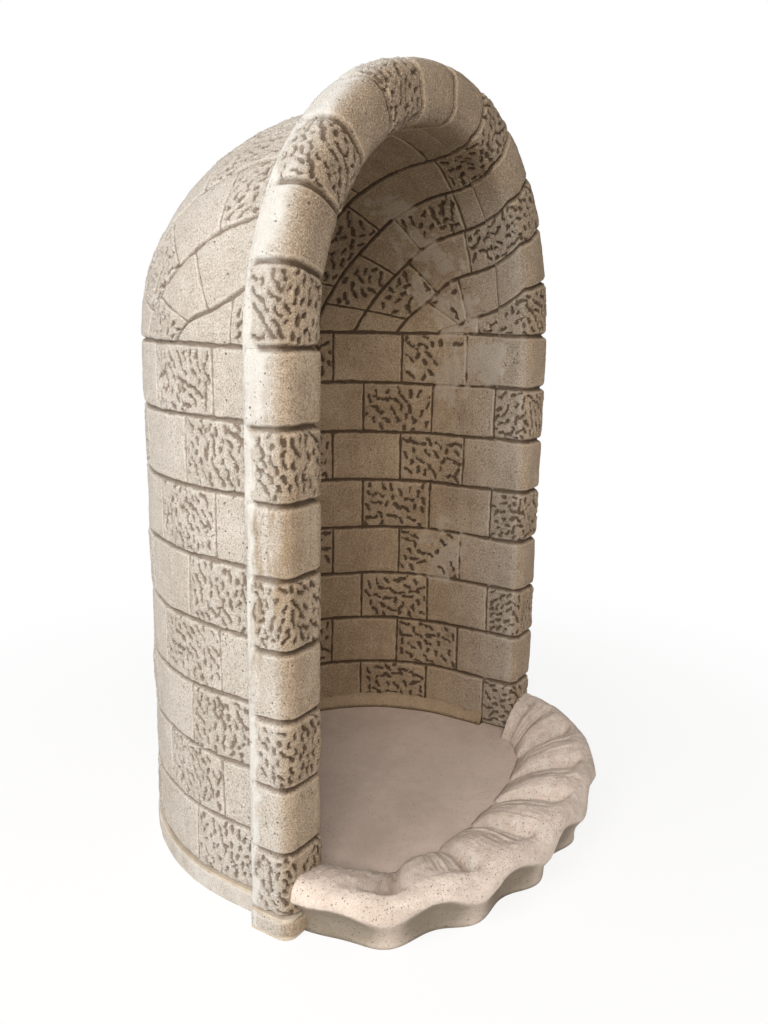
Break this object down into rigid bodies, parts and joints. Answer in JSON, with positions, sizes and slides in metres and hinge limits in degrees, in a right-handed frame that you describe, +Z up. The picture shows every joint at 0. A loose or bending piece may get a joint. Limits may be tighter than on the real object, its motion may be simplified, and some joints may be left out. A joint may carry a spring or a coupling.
{
  "type": "statue niche",
  "caption": "Cast-stone garden niche: round-backed shell with a half dome, framed by jambs and an arch of voussoirs, on a slab with a ruffled shell-shaped lip; holds a standing statue.",
  "frame": {"origin": "on the ground, in the middle of the width and of the depth", "axes": "+Z up, -Y out of the niche's open front, +X to the right for someone facing it"},
  "size_m": [0.59, 0.5499, 0.896],
  "materials": {
    "cream_stone": "matte",
    "floor_stone": "matte"
  },
  "bodies": {
    "root": {"base_slab": "cream_stone", "floor": "floor_stone", "left_jamb": "cream_stone", "right_jamb": "cream_stone", "voussoir_01": "cream_stone", "voussoir_02": "cream_stone", "voussoir_03": "cream_stone", "voussoir_04": "cream_stone", "voussoir_05": "cream_stone", "voussoir_06": "cream_stone", "voussoir_07": "cream_stone", "voussoir_08": "cream_stone", "voussoir_09": "cream_stone", "voussoir_10": "cream_stone", "voussoir_11": "cream_stone", "voussoir_12": "cream_stone", "wall_segment_1": "cream_stone", "wall_segment_2": "cream_stone", "wall_segment_3": "cream_stone", "wall_segment_4": "cream_stone", "wall_segment_5": "cream_stone", "wall_segment_6": "cream_stone", "dome_gore_1": "cream_stone", "dome_gore_2": "cream_stone", "dome_gore_3": "cream_stone", "dome_gore_4": "cream_stone", "dome_gore_5": "cream_stone", "dome_gore_6": "cream_stone", "dome_crown_1": "cream_stone", "dome_crown_2": "cream_stone", "dome_crown_3": "cream_stone", "lip_lobe_1": "floor_stone", "lip_lobe_2": "floor_stone", "lip_lobe_3": "floor_stone", "lip_lobe_4": "floor_stone", "lip_lobe_5": "floor_stone", "lip_lobe_6": "floor_stone", "lip_lobe_7": "floor_stone"}
  },
  "joints": []
}
